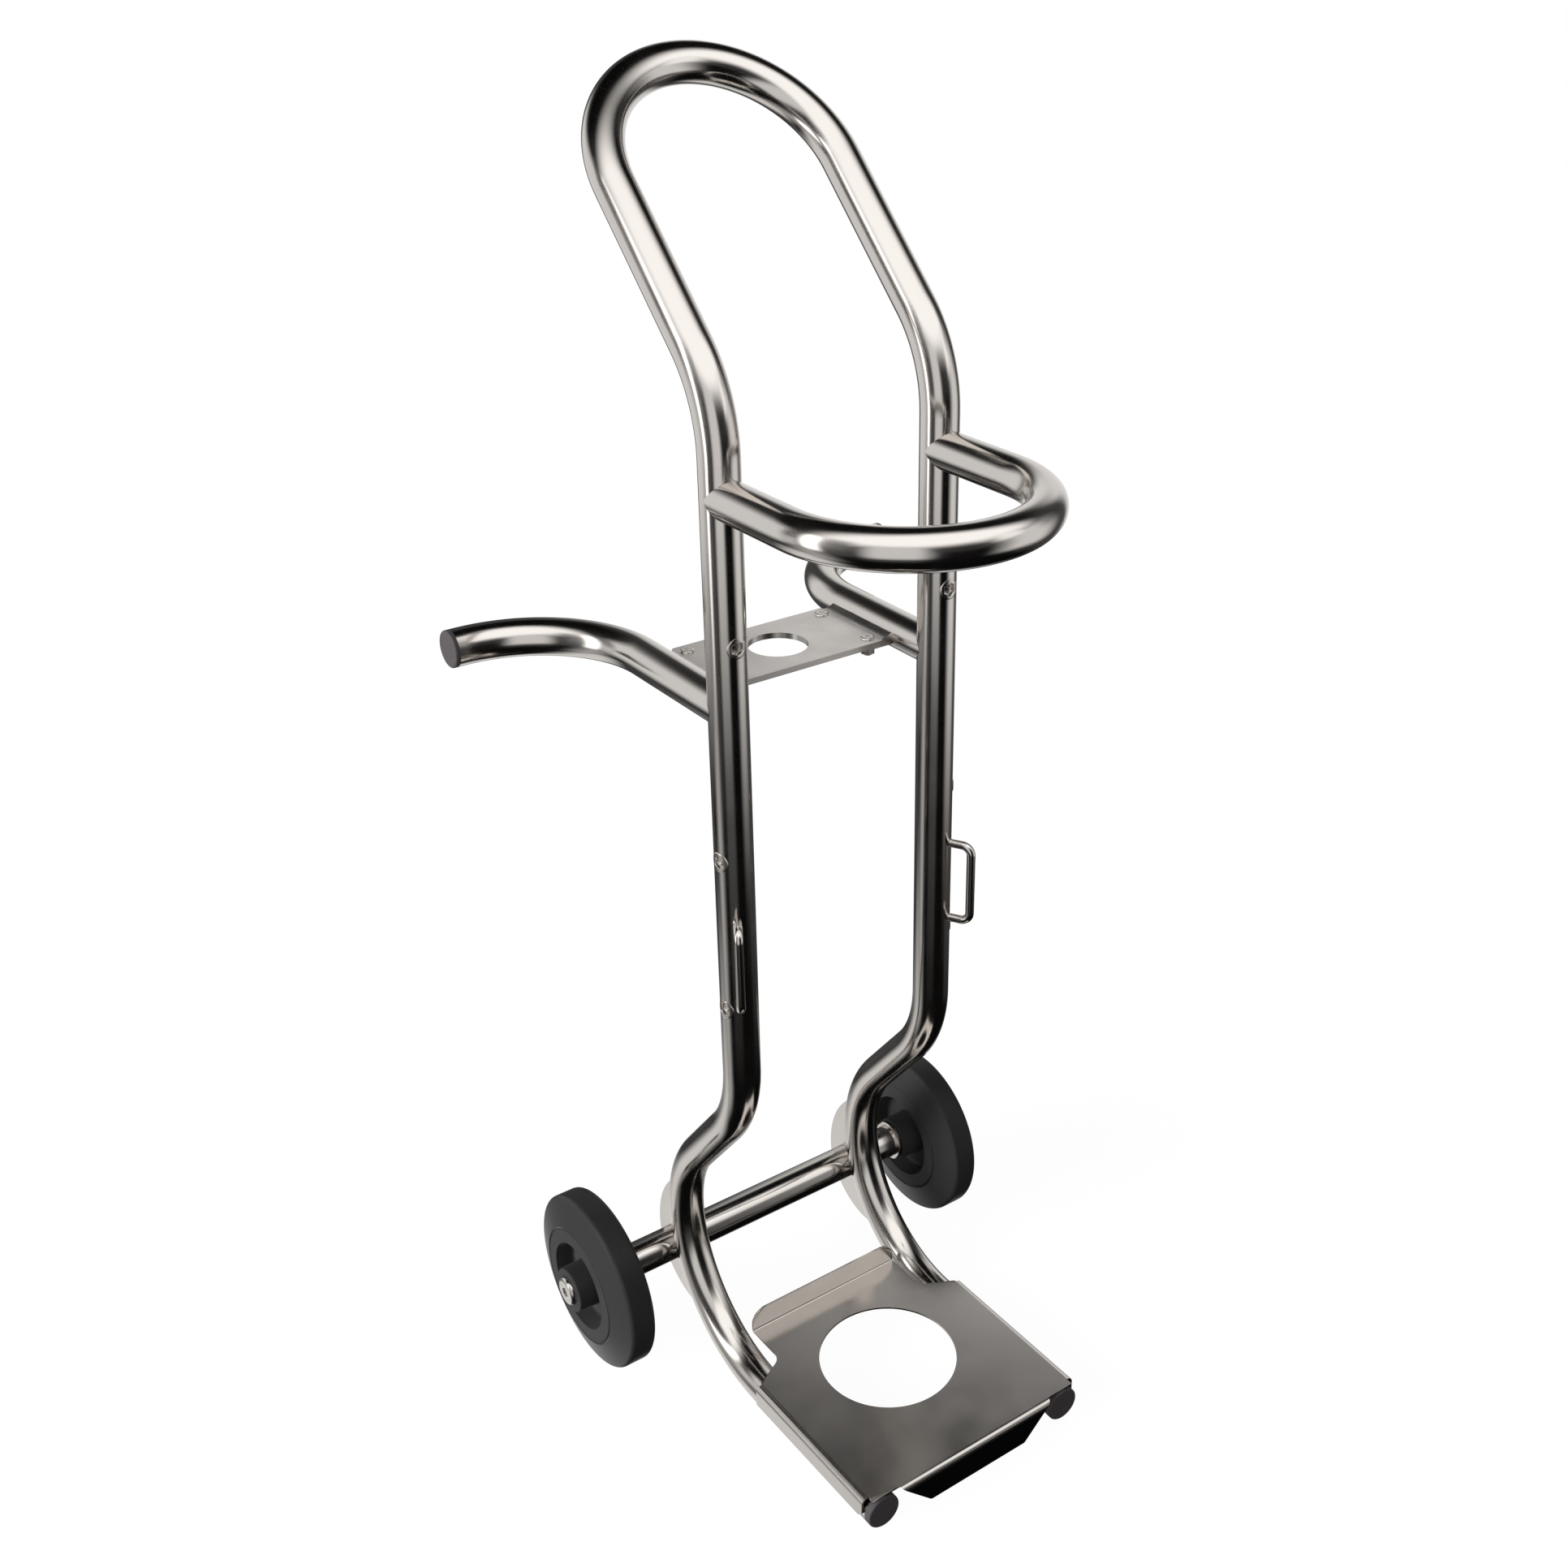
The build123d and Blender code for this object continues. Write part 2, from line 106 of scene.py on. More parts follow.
def steel(name, colour, rough, smear, grain=None, depth=0.0):
    """Bare stainless steel. Its roughness wanders by smear from patch to patch, and marks of this grain
    size along X, Y and Z, and this depth, break up the reflection."""
    material, tree = new_material(name)
    place = add_node(tree, "ShaderNodeTexCoord")
    patches = add_node(tree, "ShaderNodeTexNoise", {"Vector": place.outputs["Object"],
                       "Scale": 1 / smear_size})
    gloss = add_node(tree, "ShaderNodeMapRange", {"Value": patches.outputs["Fac"], "From Min": smear_low,
                     "From Max": smear_high, "To Min": rough - smear, "To Max": rough + smear})
    shader = add_node(tree, "ShaderNodeBsdfPrincipled", {"Base Color": linear(colour), "Metallic": 1.0,
                      "Roughness": gloss.outputs["Result"]})
    if grain:
        marks_per_metre = [1 / size for size in grain]
        lines = add_node(tree, "ShaderNodeMapping", {"Vector": place.outputs["Object"],
                         "Scale": marks_per_metre})
        marks = add_node(tree, "ShaderNodeTexNoise", {"Vector": lines.outputs["Vector"], "Scale": 1.0})
        relief = add_node(tree, "ShaderNodeBump", {"Height": marks.outputs["Fac"], "Distance": depth,
                          "Strength": 1.0})
        tree.links.new(relief.outputs["Normal"], shader.inputs["Normal"])
    add_node(tree, "ShaderNodeOutputMaterial", {"Surface": shader.outputs["BSDF"]})
    return material


# Polished with a belt and then a mop: the marks are too fine to see, and what is left of them makes the
# edges of the reflections a little soft and uneven.
polished = steel("stainless tube polished with belt and mop", "#CAC5C0", rough=0.14, smear=0.02)


def axes(side, heading):
    """Axes of a tube's cross section: side, the one across it, and the way the tube heads."""
    return Matrix((side, heading.cross(side), heading)).transposed()


def bent_line(start, cross, *steps):
    """Stations along the centre line of a bent tube, each a point and its axes. A step is a straight
    length, or a bend as (radius, degrees, axis)."""
    stations = [(Vector(start), cross)]
    for step in steps:
        point, cross = stations[-1]
        if isinstance(step, tuple):
            radius, turn, axis = step
            spoke = cross.col[2].cross(axis) * radius
            count = ceil(turn / bend_step)
            for k in range(1, count + 1):
                turned = Matrix.Rotation(radians(turn) * k / count, 3, axis)
                stations.append((point - spoke + turned @ spoke, turned @ cross))
        else:
            stations.append((point + cross.col[2] * step, cross))
    return stations


def beside_hole(row, column, radius):
    """Angle and height from the middle of an insert hole for a point of the grid round it, so that the
    grid's inner ring lies on the rim of the hole and its outer ring stays as it is."""
    reach = max(abs(row), abs(column))
    share = max(0, reach - hole_rows) / (patch_rows - hole_rows)
    rim = (1 - share) * hole_radius / hypot(row, column)
    patch_angle = patch_rows * 2 * pi / tube_sides
    across = rim * column + share * radius * sin(patch_angle * column / reach)
    height = rim * row + share * patch_half * row / reach
    return asin(across / radius), height


def tube_mesh(name, stations, radius, wall=0.0, saddles=(), holes=(), sides=tube_sides):
    """Round tube, or rod if it has no wall. saddles are the ends, 0 or -1, that are cut to sit on an
    upright. holes are insert holes in an upright, as (height, angle in degrees)."""
    shell = bmesh.new()
    seat = tube_radius + seat_gap
    open_cells = set()
    walls = []
    for wall_radius in [radius, radius - wall][: 2 if wall else 1]:
        rows = []
        for i, (point, cross) in enumerate(stations):
            row = []
            for j in range(sides):
                angle = 2 * pi * j / sides
                along = 0.0
                for height, facing in holes:
                    up = (point.z - height) / patch_half * patch_rows
                    column = (j - round(facing / 360 * sides) + sides // 2) % sides - sides // 2
                    upright = cross.col[2].z > nearly_upright
                    if upright and abs(up) < patch_rows + 0.5 and abs(column) <= patch_rows:
                        up = round(up)
                        if up or column:
                            turn, rise = beside_hole(up, column, wall_radius)
                            angle = radians(facing) + turn
                            along = height + rise - point.z
                        if -hole_rows <= up < hole_rows and -hole_rows <= column < hole_rows:
                            open_cells.add((i, j))
                if i == 0 and 0 in saddles:
                    along = sqrt(seat**2 - (wall_radius * cos(angle)) ** 2)
                if i == len(stations) - 1 and -1 in saddles:
                    along = -sqrt(seat**2 - (wall_radius * cos(angle)) ** 2)
                place = Vector((wall_radius * cos(angle), wall_radius * sin(angle), along))
                row.append(shell.verts.new(point + cross @ place))
            rows.append(row)
        walls.append(rows)
    for rows in walls:
        for i in range(len(rows) - 1):
            for j in range(sides):
                if (i, j) not in open_cells:
                    k = (j + 1) % sides
                    shell.faces.new((rows[i][j], rows[i][k], rows[i + 1][k], rows[i + 1][j]))
    if wall:
        outer, inner = walls
        for j in range(sides):
            k = (j + 1) % sides
            for end in (0, -1):
                shell.faces.new((outer[end][j], outer[end][k], inner[end][k], inner[end][j]))
        for i, j in open_cells:
            k = (j + 1) % sides
            borders = [((i, j - 1), (i, j), (i + 1, j)), ((i, k), (i, k), (i + 1, k)),
                       ((i - 1, j), (i, j), (i, k)), ((i + 1, j), (i + 1, j), (i + 1, k))]
            for neighbour, (a, b), (c, d) in borders:
                if (neighbour[0], neighbour[1] % sides) not in open_cells:
                    shell.faces.new((outer[a][b], outer[c][d], inner[c][d], inner[a][b]))
    else:
        for end in (0, -1):
            shell.faces.new(walls[0][end])
    return finished_mesh(name, shell)


def finished_mesh(name, shell):
    """Mesh of a closed shell, its faces turned outwards, smooth but for its sharp edges."""
    bmesh.ops.delete(shell, geom=[vert for vert in shell.verts if not vert.link_faces], context="VERTS")
    bmesh.ops.recalc_face_normals(shell, faces=shell.faces)
    mesh = bpy.data.meshes.new(name)
    shell.to_mesh(mesh)
    shell.free()
    mesh.shade_smooth()
    mesh.set_sharp_from_angle(angle=radians(sharp_angle))
    return mesh


def left_of(mesh, name):
    """The same mesh on the other side of the trolley."""
    copy = mesh.copy()
    copy.name = name
    copy.transform(Matrix.Scale(-1, 4, X))
    copy.flip_normals()
    return copy


def add_piece(mesh, material, slot, *replaced, body="frame"):
    """Puts a finished mesh on a body, in place of the nodes that it replaces."""
    mesh.materials.append(material)
    piece = bpy.data.objects.new(mesh.name, mesh)
    scene.collection.objects.link(piece)
    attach(piece, body)
    if replaced:
        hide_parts(*replaced)
    return piece


mounts = {mount["name"]: mount for mount in frame["record"]["mounts"]}
beside = mounts["side_inserts_right"]
beside_half = beside["dims"]["pcd_mm"] / 2 * mm
beside_angle = round(degrees(atan2(beside["axis"][1], beside["axis"][0])))
insert_places = [
    (beside["pos_m"][2] - beside_half, beside_angle),
    (beside["pos_m"][2] + beside_half, beside_angle),
    (mounts["front_inserts"]["pos_m"][2], -90),
]
lean = radians(heel_turn)
heel_ahead = (heel_radius + knee_radius) * sin(lean) + heel_straight * cos(lean) - knee_radius
knee_top = tube_radius + heel_radius - (heel_radius + knee_radius) * cos(lean) + heel_straight * sin(lean)
upright_steps = []
level = knee_top
for height, _ in insert_places:
    upright_steps.append(height - patch_half - level)
    upright_steps += [patch_half / patch_rows] * (2 * patch_rows)
    level = height + patch_half
upright_steps.append(side_high.z - level)
side_line = bent_line(
    (side_x, side_low.y, tube_radius),
    axes(X, Y),
    upright_y - heel_ahead - side_low.y,
    (heel_radius, heel_turn, X),
    heel_straight,
    (knee_radius, heel_turn - 90, -X),
    *upright_steps,
)
side_tube = tube_mesh("side_tube_right", side_line, tube_radius, tube_wall, holes=insert_places)
add_piece(left_of(side_tube, "side_tube_left"), polished, "polished_tube", "side_tube_left")
add_piece(side_tube, polished, "polished_tube", "side_tube_right")

# Handle: the same tube, bent back from both uprights and closed in a half circle. Butt-welded to the
# uprights and ground flush, so that no seam shows.
handle_radius = 130 * mm
handle_turn = 45
handle_straight = 160 * mm
back_and_up = Y * sin(radians(handle_turn)) + Z * cos(radians(handle_turn))
handle_line = bent_line(
    (-side_x, upright_y, side_high.z),
    axes(X, Z),
    (handle_radius, handle_turn, -X),
    handle_straight,
    (side_x, 180, back_and_up.cross(X)),
    handle_straight,
    (handle_radius, handle_turn, X),
)
handle = tube_mesh("handle_tube", handle_line, tube_radius, tube_wall)
add_piece(handle, polished, "polished_tube", "handle_tube")

# Hoop round the bottle: a U of the same tube. Its ends are cut to a saddle, set on the front of the
# uprights and welded to them.
hoop_low, hoop_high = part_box("front_hoop")
hoop_leg = upright_y - side_x - tube_radius - hoop_low.y
hoop_line = bent_line(
    (-side_x, upright_y, (hoop_low.z + hoop_high.z) / 2),
    axes(X, -Y),
    hoop_leg,
    (side_x, 180, Z),
    hoop_leg,
)
hoop = tube_mesh("front_hoop", hoop_line, tube_radius, tube_wall, saddles=(0, -1))
add_piece(hoop, polished, "polished_tube", "front_hoop")

# Tail bars: the same tube, with one end cut to a saddle and welded to the back of the upright, and the
# other bent outwards to hold hoses.
tail_radius = 130 * mm
tail_low, tail_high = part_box("tail_bar_right")
tail_height = (tail_low.z + tail_high.z) / 2
tail_line = bent_line(
    (side_x, upright_y, tail_height),
    axes(X, Y),
    tail_high.y - tube_radius - tail_radius - upright_y,
    (tail_radius, 90, -Z),
    tail_high.x - side_x - tail_radius,
)
tail_bar = tube_mesh("tail_bar_right", tail_line, tube_radius, tube_wall, saddles=(0,))
add_piece(left_of(tail_bar, "tail_bar_left"), polished, "polished_tube", "tail_bar_left")
add_piece(tail_bar, polished, "polished_tube", "tail_bar_right")

# Plug caps: dark grey polyethylene mouldings, pushed into the ends of the tail bars and, as the front
# feet, into the ends of the side tubes.
speck_detail = 3.0
speck_low = 0.25
speck_high = 0.75
gloss_wander = 0.08


def clothe(material, *names):
    """Gives CAD nodes their material."""
    for name in names:
        mesh = nodes[name].data
        mesh.materials.clear()
        mesh.materials.append(material)


def both(*names):
    """The left and the right node of each pair."""
    return [name + side for name in names for side in ("_left", "_right")]


def moulded(name, colour, rough, speck, grain, depth, shine=0.5):
    """Plastic or rubber from a mould. Its colour wanders by the factor speck, and its grain of this size
    and depth scatters the highlights, which are as strong as shine."""
    material, tree = new_material(name)
    place = add_node(tree, "ShaderNodeTexCoord")
    specks = add_node(tree, "ShaderNodeTexNoise", {"Vector": place.outputs["Object"], "Scale": 1 / grain,
                      "Detail": speck_detail})
    tone = add_node(tree, "ShaderNodeMapRange", {"Value": specks.outputs["Fac"], "From Min": speck_low,
                    "From Max": speck_high, "To Min": 1 - speck, "To Max": 1 + speck})
    body = add_node(tree, "ShaderNodeMix", {"Factor": 1.0, "A": linear(colour),
                    "B": tone.outputs["Result"]}, data_type="RGBA", blend_type="MULTIPLY")
    gloss = add_node(tree, "ShaderNodeMapRange", {"Value": specks.outputs["Fac"],
                     "To Min": rough - gloss_wander, "To Max": rough + gloss_wander})
    relief = add_node(tree, "ShaderNodeBump", {"Height": specks.outputs["Fac"], "Distance": depth,
                      "Strength": 1.0})
    shader = add_node(tree, "ShaderNodeBsdfPrincipled", {"Base Color": body.outputs["Result"],
                      "Roughness": gloss.outputs["Result"], "Specular IOR Level": shine,
                      "Normal": relief.outputs["Normal"]})
    add_node(tree, "ShaderNodeOutputMaterial", {"Surface": shader.outputs["BSDF"]})
    return material


# Moulded with a fine spark-eroded skin, which keeps the highlights wide and weak. The grain of this and of
# the other mouldings is too fine to show, so it is drawn coarser.
plug = moulded(
    "polyethylene with a fine moulded skin", "#5C5859",
    rough=0.5, speck=0.05, grain=1.5 * mm, depth=0.02 * mm, shine=0.15,
)
clothe(plug, *both("tail_cap", "foot_cap"))

# Strap loops: 9 mm stainless wire, bent to a bow, welded to the outer front of the uprights and polished
# with them.
loop_corner = 10 * mm
loop_reach = 42 * mm
loop_angle = radians(60)
wire_radius = 4.5 * mm
wire_sides = 40
loop_low, loop_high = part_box("strap_loop_right")
outward = X * cos(loop_angle) - Y * sin(loop_angle)
loop_bend = (loop_corner, 90, outward.cross(-Z))
loop_line = bent_line(
    (side_x, upright_y, loop_high.z - wire_radius),
    axes(outward.cross(Z), outward),
    loop_reach - loop_corner,
    loop_bend,
    loop_high.z - loop_low.z - 2 * wire_radius - 2 * loop_corner,
    loop_bend,
    loop_reach - loop_corner,
)
strap_loop = tube_mesh("strap_loop_right", loop_line, wire_radius, saddles=(0, -1), sides=wire_sides)
add_piece(left_of(strap_loop, "strap_loop_left"), polished, "polished_wire", "strap_loop_left")
add_piece(strap_loop, polished, "polished_wire", "strap_loop_right")

# Threaded inserts: turned stainless sleeves with a blind M10 thread behind a hexagonal mouth, set into
# the uprights under a thin flange that is pressed to the curve of the tube.
insert_sides = 48
flange_radius = 10 * mm
flange_height = 0.9 * mm
flange_top = tube_radius + flange_height
flange_under = tube_radius + seat_gap
flange_rings = 6
rim_bevel = 0.3 * mm
rim_steepness = 8
chamfer = 0.4 * mm
socket_radius = 5.8 * mm
socket_depth = 3.5 * mm
thread_root = 4.75 * mm
thread_crest = 4.25 * mm
thread_pitch = 1.5 * mm
thread_turns = 4
sleeve_radius = 7 * mm
sleeve_length = 18 * mm


def insert_rings():
    """Rings of an insert from the bottom of its thread round to the foot of its sleeve, as (radius, share
    of a hexagon in its shape, height, and whether the ring follows the curve of the tube)."""
    floor = flange_top - socket_depth
    rings = []
    for turn in range(thread_turns, 0, -1):
        rings.append((thread_root, 0, floor - turn * thread_pitch, False))
        rings.append((thread_crest, 0, floor - (turn - 0.5) * thread_pitch, False))
    rings.append((thread_root, 0, floor, False))
    rings.append((socket_radius - chamfer, 1, floor, False))
    rings.append((socket_radius, 1, flange_top - chamfer, True))
    for step in range(flange_rings + 1):
        share = step / flange_rings
        radius = socket_radius + chamfer + share * (flange_radius - socket_radius - chamfer)
        rings.append((radius, 1 - share, flange_top - share**rim_steepness * rim_bevel, True))
    rings.append((flange_radius, 0, flange_under, True))
    rings.append((sleeve_radius, 0, flange_under, True))
    rings.append((sleeve_radius, 0, flange_top - sleeve_length, False))
    return rings


def hexagon(angle):
    """How far a hexagon reaches at this angle, where the middle of a flat is at 1."""
    return 1 / cos((angle + pi / 6) % (pi / 3) - pi / 6)


shell = bmesh.new()
for height, facing in insert_places:
    ahead = X * cos(radians(facing)) + Y * sin(radians(facing))
    cross = axes(Z.cross(ahead), ahead)
    loops = []
    for round_radius, corners, lift, follows in insert_rings():
        loop = []
        for j in range(insert_sides):
            angle = 2 * pi * j / insert_sides
            radius = round_radius * (1 + corners * (hexagon(angle) - 1))
            across = radius * cos(angle)
            out = sqrt(lift**2 - across**2) if follows else lift
            place = Vector((across, radius * sin(angle), out))
            loop.append(shell.verts.new(Vector((side_x, upright_y, height)) + cross @ place))
        loops.append(loop)
    for one, two in zip(loops, loops[1:]):
        for j in range(insert_sides):
            k = (j + 1) % insert_sides
            shell.faces.new((one[j], one[k], two[k], two[j]))
    shell.faces.new(loops[0])
    shell.faces.new(loops[-1])
right_inserts = finished_mesh("right_inserts", shell)
shell = bmesh.new()
shell.from_mesh(right_inserts)
shell.from_mesh(left_of(right_inserts, "left_inserts"))
inserts = finished_mesh("threaded_inserts", shell)
# Turned on a lathe and tumbled: bright, with a softer reflection than the polished tube. The marks of the
# tumbling are too fine to show, so they are drawn coarser.
bright = steel(
    "stainless fastener, turned and tumbled", "#CAC5C0",
    rough=0.22, smear=0.04, grain=(1.5 * mm, 1.5 * mm, 1.5 * mm), depth=0.01 * mm,
)
add_piece(inserts, bright, "bright_fasteners", "threaded_inserts")

# Base plate: 2 mm stainless sheet, cut by laser and folded on four sides, laid on the side tubes and
# welded to them. The bends at the sides are rounder than the others. The front flange has a black facing.
sheet = 2 * mm
tight_bend = 3.5 * mm
round_bend = 8 * mm
bend_from = 100 * mm
flat_depth = 1.1 * sheet
same_place = 0.001 * mm
tolerance = 0.01 * mm
plate_top = mounts["bottle_plate"]["pos_m"][2]
plate_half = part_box("base_plate")[1].x
shell = bmesh.new()
shell.from_mesh(nodes["base_plate"].data)
shell.transform(nodes["base_plate"].matrix_world)
bmesh.ops.remove_doubles(shell, verts=shell.verts, dist=same_place)
# The side bends are opened to their larger radius, and the flat is drawn in to meet them.
for vert in shell.verts:
    side = 1 if vert.co.x > 0 else -1
    out = abs(vert.co.x) - plate_half + tight_bend
    up = vert.co.z - plate_top + tight_bend
    if out > -tolerance and up > -tolerance:
        bend = round_bend - tight_bend + hypot(out, up)
        angle = atan2(out, up)
        vert.co.x = side * (plate_half - round_bend + bend * sin(angle))
        vert.co.z = plate_top - round_bend + bend * cos(angle)
    elif vert.co.z > plate_top - flat_depth and abs(vert.co.x) > bend_from:
        flat = (plate_half - round_bend - bend_from) / (plate_half - tight_bend - bend_from)
        vert.co.x = side * (bend_from + (abs(vert.co.x) - bend_from) * flat)
# Brushed lightly from front to back: it mirrors nearly as well as the tube. The brush lines are too fine
# to show, so they are drawn wider.
satin = steel(
    "stainless sheet with a fine satin finish", "#C6C1BC",
    rough=0.2, smear=0.03, grain=(1.2 * mm, 40 * mm, 1.2 * mm), depth=0.002 * mm,
)
base_plate = add_piece(finished_mesh("base_plate", shell), satin, "satin_sheet", "base_plate")
even = base_plate.modifiers.new("even flats", "WEIGHTED_NORMAL")
even.keep_sharp = True
# Sprayed satin black: nearly no highlight, a faint unevenness from the spray.
black = moulded(
    "satin black spray paint", "#060606",
    rough=0.5, speck=0.1, grain=3 * mm, depth=0.01 * mm, shine=0.1,
)
clothe(black, "front_panel")

# Gussets and axle tube: 5 mm plate in the plane of each heel bend, welded to it, with the 38 mm axle tube
# through both. Stub axles are plugged into the tube, and a collar washer stands before each hub.
clothe(polished, "axle_tube")
clothe(bright, *both("stub_axle", "collar_washer"))
# Blasted with glass beads: pale and even, with a blurred reflection. The dimples are too fine to show, so
# they are drawn larger.
blasted = steel(
    "stainless plate, bead-blasted after cutting", "#D6D1CC",
    rough=0.28, smear=0.04, grain=(0.8 * mm, 0.8 * mm, 0.8 * mm), depth=0.003 * mm,
)
clothe(blasted, *both("gusset"))

# Accessory plate: 6 mm stainless plate with a round hole, held by four button-head screws and nuts on two
# lugs. The lugs are welded to the tail bars, with a fillet along the top.
weld_rise = 3.5 * mm
weld_steps = 8
weld_gap = 0.05 * mm
lug_low, lug_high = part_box("plate_lug_right")
plate_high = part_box("accessory_plate")[1]
weld_radius = tube_radius + weld_gap
weld_foot = lug_high.z + weld_gap
weld_start = plate_high.x + weld_gap
weld_top = plate_high.z + weld_rise
flank_x = side_x - sqrt(weld_radius**2 - (weld_top - tail_height) ** 2)
section = [(weld_start, weld_foot)]
for step in range(weld_steps + 1):
    share = step / weld_steps
    section.append((weld_start + (flank_x - weld_start) * share, plate_high.z + weld_rise * share**2))
for step in range(1, weld_steps + 1):
    z = weld_top + (weld_foot - weld_top) * step / weld_steps
    section.append((side_x - sqrt(weld_radius**2 - (z - tail_height) ** 2), z))
shell = bmesh.new()
ends = [[shell.verts.new((x, y, z)) for x, z in section] for y in (lug_low.y, lug_high.y)]
for end in ends:
    shell.faces.new(end)
for j in range(len(section)):
    shell.faces.new((ends[0][j - 1], ends[0][j], ends[1][j], ends[1][j - 1]))
lug_weld = finished_mesh("lug_weld_right", shell)
add_piece(left_of(lug_weld, "lug_weld_left"), blasted, "satin_sheet")
add_piece(lug_weld, blasted, "satin_sheet")
clothe(blasted, "accessory_plate", "plate_screws", *both("plate_lug"))
clothe(bright, "plate_nuts")

# Wheels: solid rubber tyres with tapered sides and round shoulders, on moulded polyamide centres. They
# turn on plain acetal bushes, and a domed screw in a dust ring holds each of them on its axle.
tyre_half = 24 * mm
tread_half = 14 * mm
seat_radius = 66.5 * mm
seat_edge = 1.6 * mm
shoulder_radius = 5 * mm
shoulder_steps = 10
tyre_sides = 96
tyre_low, tyre_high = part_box("tyre_right")
tyre_radius = (tyre_high.z - tyre_low.z) / 2
taper = atan2(tyre_half - tread_half, tyre_radius - seat_radius - seat_edge)
shoulder_x = tread_half - shoulder_radius * (1 - sin(taper)) / cos(taper)
tyre_side = [(tyre_half - seat_edge, seat_radius), (tyre_half, seat_radius + seat_edge)]
for step in range(shoulder_steps + 1):
    angle = taper + (pi / 2 - taper) * step / shoulder_steps
    radius = tyre_radius - shoulder_radius * (1 - sin(angle))
    tyre_side.append((shoulder_x + shoulder_radius * cos(angle), radius))
tyre_outline = [(-x, radius) for x, radius in tyre_side] + tyre_side[::-1]
# Pressed in a hot mould: matt, a little dusty, with a fine grain.
rubber = moulded(
    "solid rubber, pressed in a mould", "#3C3C3C",
    rough=0.34, speck=0.14, grain=1.2 * mm, depth=0.03 * mm, shine=0.08,
)


def ring_mesh(name, outline, middle):
    """Ring turned round the axle, about this middle. Its outline is a list of points, as (place along the
    axle, radius)."""
    shell = bmesh.new()
    turns = [2 * pi * j / tyre_sides for j in range(tyre_sides)]
    rings = []
    for x, radius in outline:
        rings.append([shell.verts.new((x, radius * cos(turn), radius * sin(turn))) for turn in turns])
    for i, ring in enumerate(rings):
        for j in range(tyre_sides):
            shell.faces.new((rings[i - 1][j - 1], rings[i - 1][j], ring[j], ring[j - 1]))
    shell.transform(Matrix.Translation(middle))
    return finished_mesh(name, shell)


for side in ("left", "right"):
    low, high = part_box("tyre_" + side)
    mesh = ring_mesh("tyre_" + side, tyre_outline, (low + high) / 2)
    tyre = add_piece(mesh, rubber, "solid_rubber", "tyre_" + side, body="wheel_" + side)
    # The tube beside the left wheel mirrors the strip light, so metal doesn't mirror that wheel.
    for piece in (tyre, nodes["wheel_centre_" + side]):
        piece.visible_glossy = side == "right"
# Injection-moulded with a smooth skin: a weak, wide highlight on the edges.
nylon = moulded(
    "black polyamide, injection-moulded", "#3C3C3C",
    rough=0.5, speck=0.06, grain=2 * mm, depth=0.02 * mm, shine=0.06,
)
clothe(nylon, *both("wheel_centre"))
dust_ring_inner = 16.3 * mm
dust_ring_outer = 18.9 * mm
dust_ring_depth = 1.9 * mm
for side, sign in (("left", -1), ("right", 1)):
    low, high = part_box("wheel_centre_" + side)
    face = sign * (high.x - low.x) / 2
    back = face - sign * dust_ring_depth
    ring_outline = [(back, dust_ring_inner), (back, dust_ring_outer)]
    ring_outline += [(face, dust_ring_outer), (face, dust_ring_inner)]
    dust_ring = ring_mesh("dust_ring_" + side, ring_outline, (low + high) / 2)
    add_piece(dust_ring, nylon, "black_moulding", body="wheel_" + side)
# Machined from rod: pale, with a dull sheen.
acetal = moulded("pale acetal, machined", "#C9C4B4", rough=0.4, speck=0.03, grain=2 * mm, depth=0.01 * mm)
clothe(acetal, *both("hub_bushes"))
clothe(bright, *both("axle_screw"))

# Floor: a roll of white paper, seen as white, with only a faint shadow where the trolley stands. Metal
# doesn't mirror it, as the studio below the trolley is dark.
floor_half = 6.0
white = "#FFFFFF"
shaded_paper = "#616161"
paper_glow = 0.96
paper_bounce = "#505050"
mesh = bpy.data.meshes.new("floor")
corners = [(x * floor_half, y * floor_half, 0) for x, y in ((-1, -1), (1, -1), (1, 1), (-1, 1))]
mesh.from_pydata(corners, [], [(0, 1, 2, 3)])
floor = bpy.data.objects.new("floor", mesh)
scene.collection.objects.link(floor)
floor.visible_glossy = False
# Uncoated paper: matt and even. The eye sees it as white, and it throws little light back on the trolley.
paper, tree = new_material("white paper, uncoated")
path = add_node(tree, "ShaderNodeLightPath")
matt = add_node(tree, "ShaderNodeBsdfDiffuse", {"Color": linear(shaded_paper)})
glow = add_node(tree, "ShaderNodeEmission", {"Color": linear(white), "Strength": paper_glow})
seen = add_node(tree, "ShaderNodeAddShader", {0: matt.outputs[0], 1: glow.outputs[0]})
bounce = add_node(tree, "ShaderNodeBsdfDiffuse", {"Color": linear(paper_bounce)})
mixed = add_node(tree, "ShaderNodeMixShader", {0: path.outputs["Is Camera Ray"], 1: bounce.outputs[0],
                 2: seen.outputs[0]})
add_node(tree, "ShaderNodeOutputMaterial", {"Surface": mixed.outputs[0]})
mesh.materials.append(paper)

# Light tent: metal mirrors a large soft ceiling light over the front and grey panels all round, with dark
# gaps between them. They hang on a round tent 3 m away, which only mirror rays see.
tent_radius = 3.0
tent_height = 0.7
tent_sides = 96
tent_rows = 48
low_softness = 9
high_softness = 10
darkest = 0.004
shell = bmesh.new()
bmesh.ops.create_uvsphere(shell, u_segments=tent_sides, v_segments=tent_rows, radius=tent_radius)
mesh = bpy.data.meshes.new("light_tent")
shell.to_mesh(mesh)
shell.free()
tent = bpy.data.objects.new("light_tent", mesh)
tent.location = (0, 0, tent_height)
scene.collection.objects.link(tent)
for rays in ("camera", "diffuse", "transmission", "volume_scatter", "shadow"):
    setattr(tent, "visible_" + rays, False)
